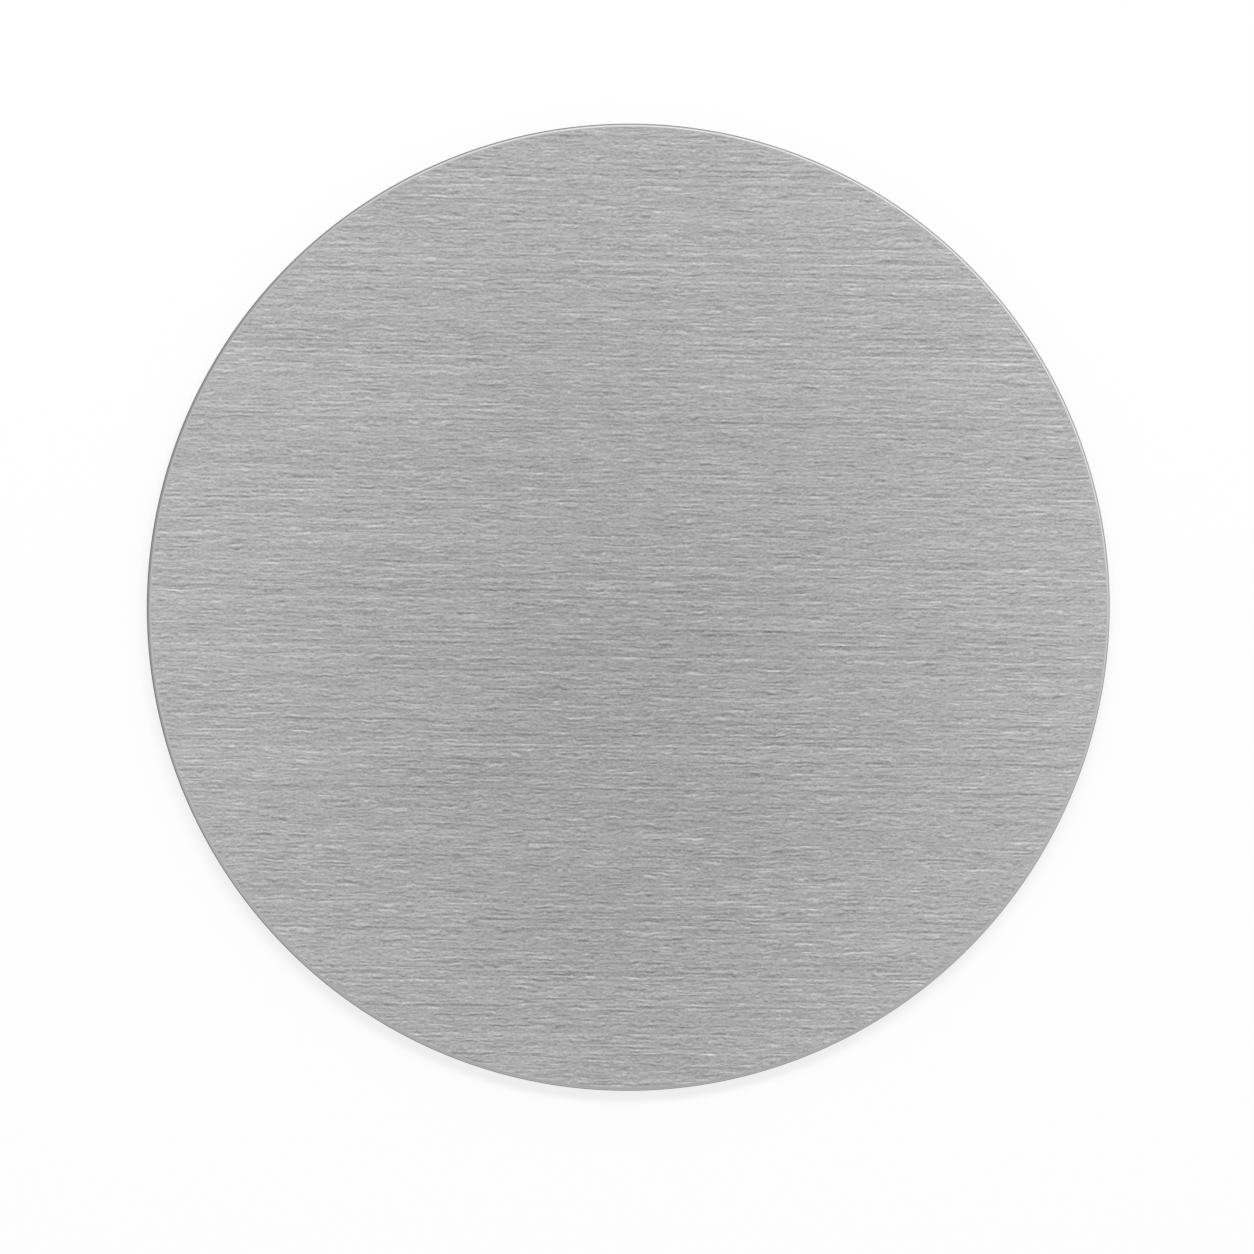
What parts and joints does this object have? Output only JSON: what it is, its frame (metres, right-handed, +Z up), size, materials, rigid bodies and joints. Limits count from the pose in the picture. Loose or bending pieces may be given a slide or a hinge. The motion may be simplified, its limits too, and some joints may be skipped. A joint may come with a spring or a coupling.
{
  "type": "drink coaster",
  "caption": "Round flat drink coaster: a brushed stainless steel disc with a rounded rim, bonded by an adhesive film to a dark non-slip foam pad.",
  "frame": {"origin": "centre of the foam pad's underside, on the table", "axes": "+Z up, along the disc's axis and out of the drink face; +X along the brush lines, +Y across them"},
  "size_m": [0.1, 0.1, 0.0026],
  "materials": {
    "steel": "straight brushed grain along X on the drink face, polished rounded rim",
    "adhesive": "milky acrylic transfer adhesive",
    "foam": "closed-cell EVA foam with a fine matt skin"
  },
  "bodies": {
    "root": {"steel_disc": "steel", "adhesive_film": "adhesive", "foam_pad": "foam"}
  },
  "joints": []
}
